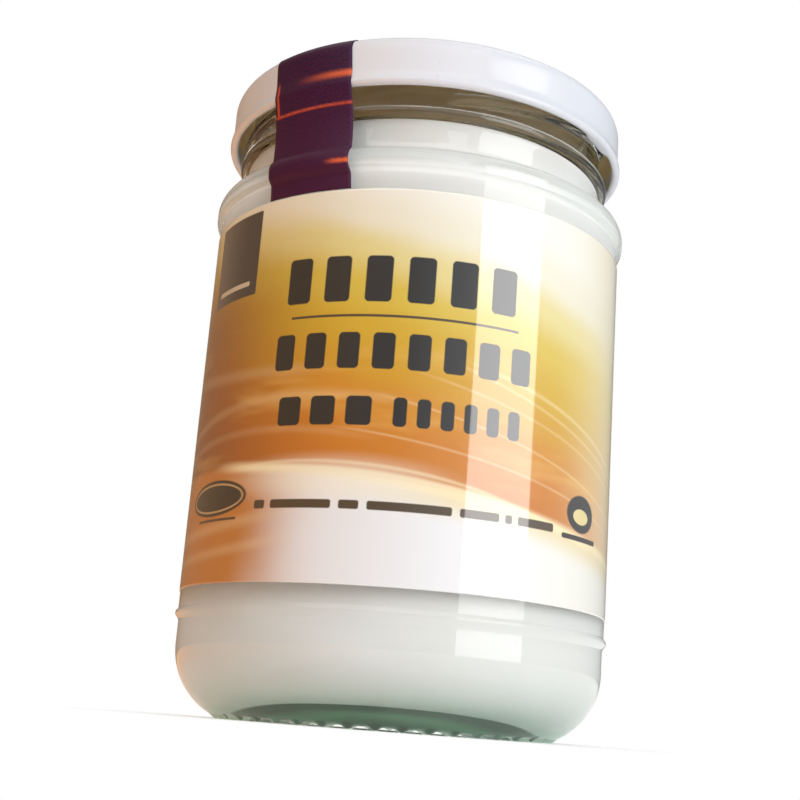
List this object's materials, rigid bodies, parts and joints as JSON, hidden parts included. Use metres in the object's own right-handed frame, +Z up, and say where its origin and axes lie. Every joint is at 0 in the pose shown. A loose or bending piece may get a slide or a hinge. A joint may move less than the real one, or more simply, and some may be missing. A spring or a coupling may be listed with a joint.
{
  "type": "mayonnaise jar",
  "caption": "Clear glass twist-off jar filled with mayonnaise, with a white metal lid, a wrap-around paper label and a purple seal strip over the lid's edge.",
  "frame": {"origin": "centre of the jar's standing ring on the ground, on the jar's axis", "axes": "+Z up along the jar's axis, -Y towards the front of the label, +X to the label's right as it is read"},
  "size_m": [0.0718, 0.0718, 0.1072],
  "materials": {
    "glass": "clear soda-lime glass with a faint green tint",
    "mayonnaise": "smooth cream-white emulsion, soft sheen",
    "white_enamel": "white enamel, satin gloss",
    "label_paper": "coated label paper, cream to gold and amber with white streaks",
    "purple_paper": "thin glossy dark purple seal paper"
  },
  "bodies": {
    "root": {"jar_glass": "glass", "mayonnaise": "mayonnaise", "lid": "white_enamel", "label": "label_paper", "seal_strip": "purple_paper"}
  },
  "joints": []
}
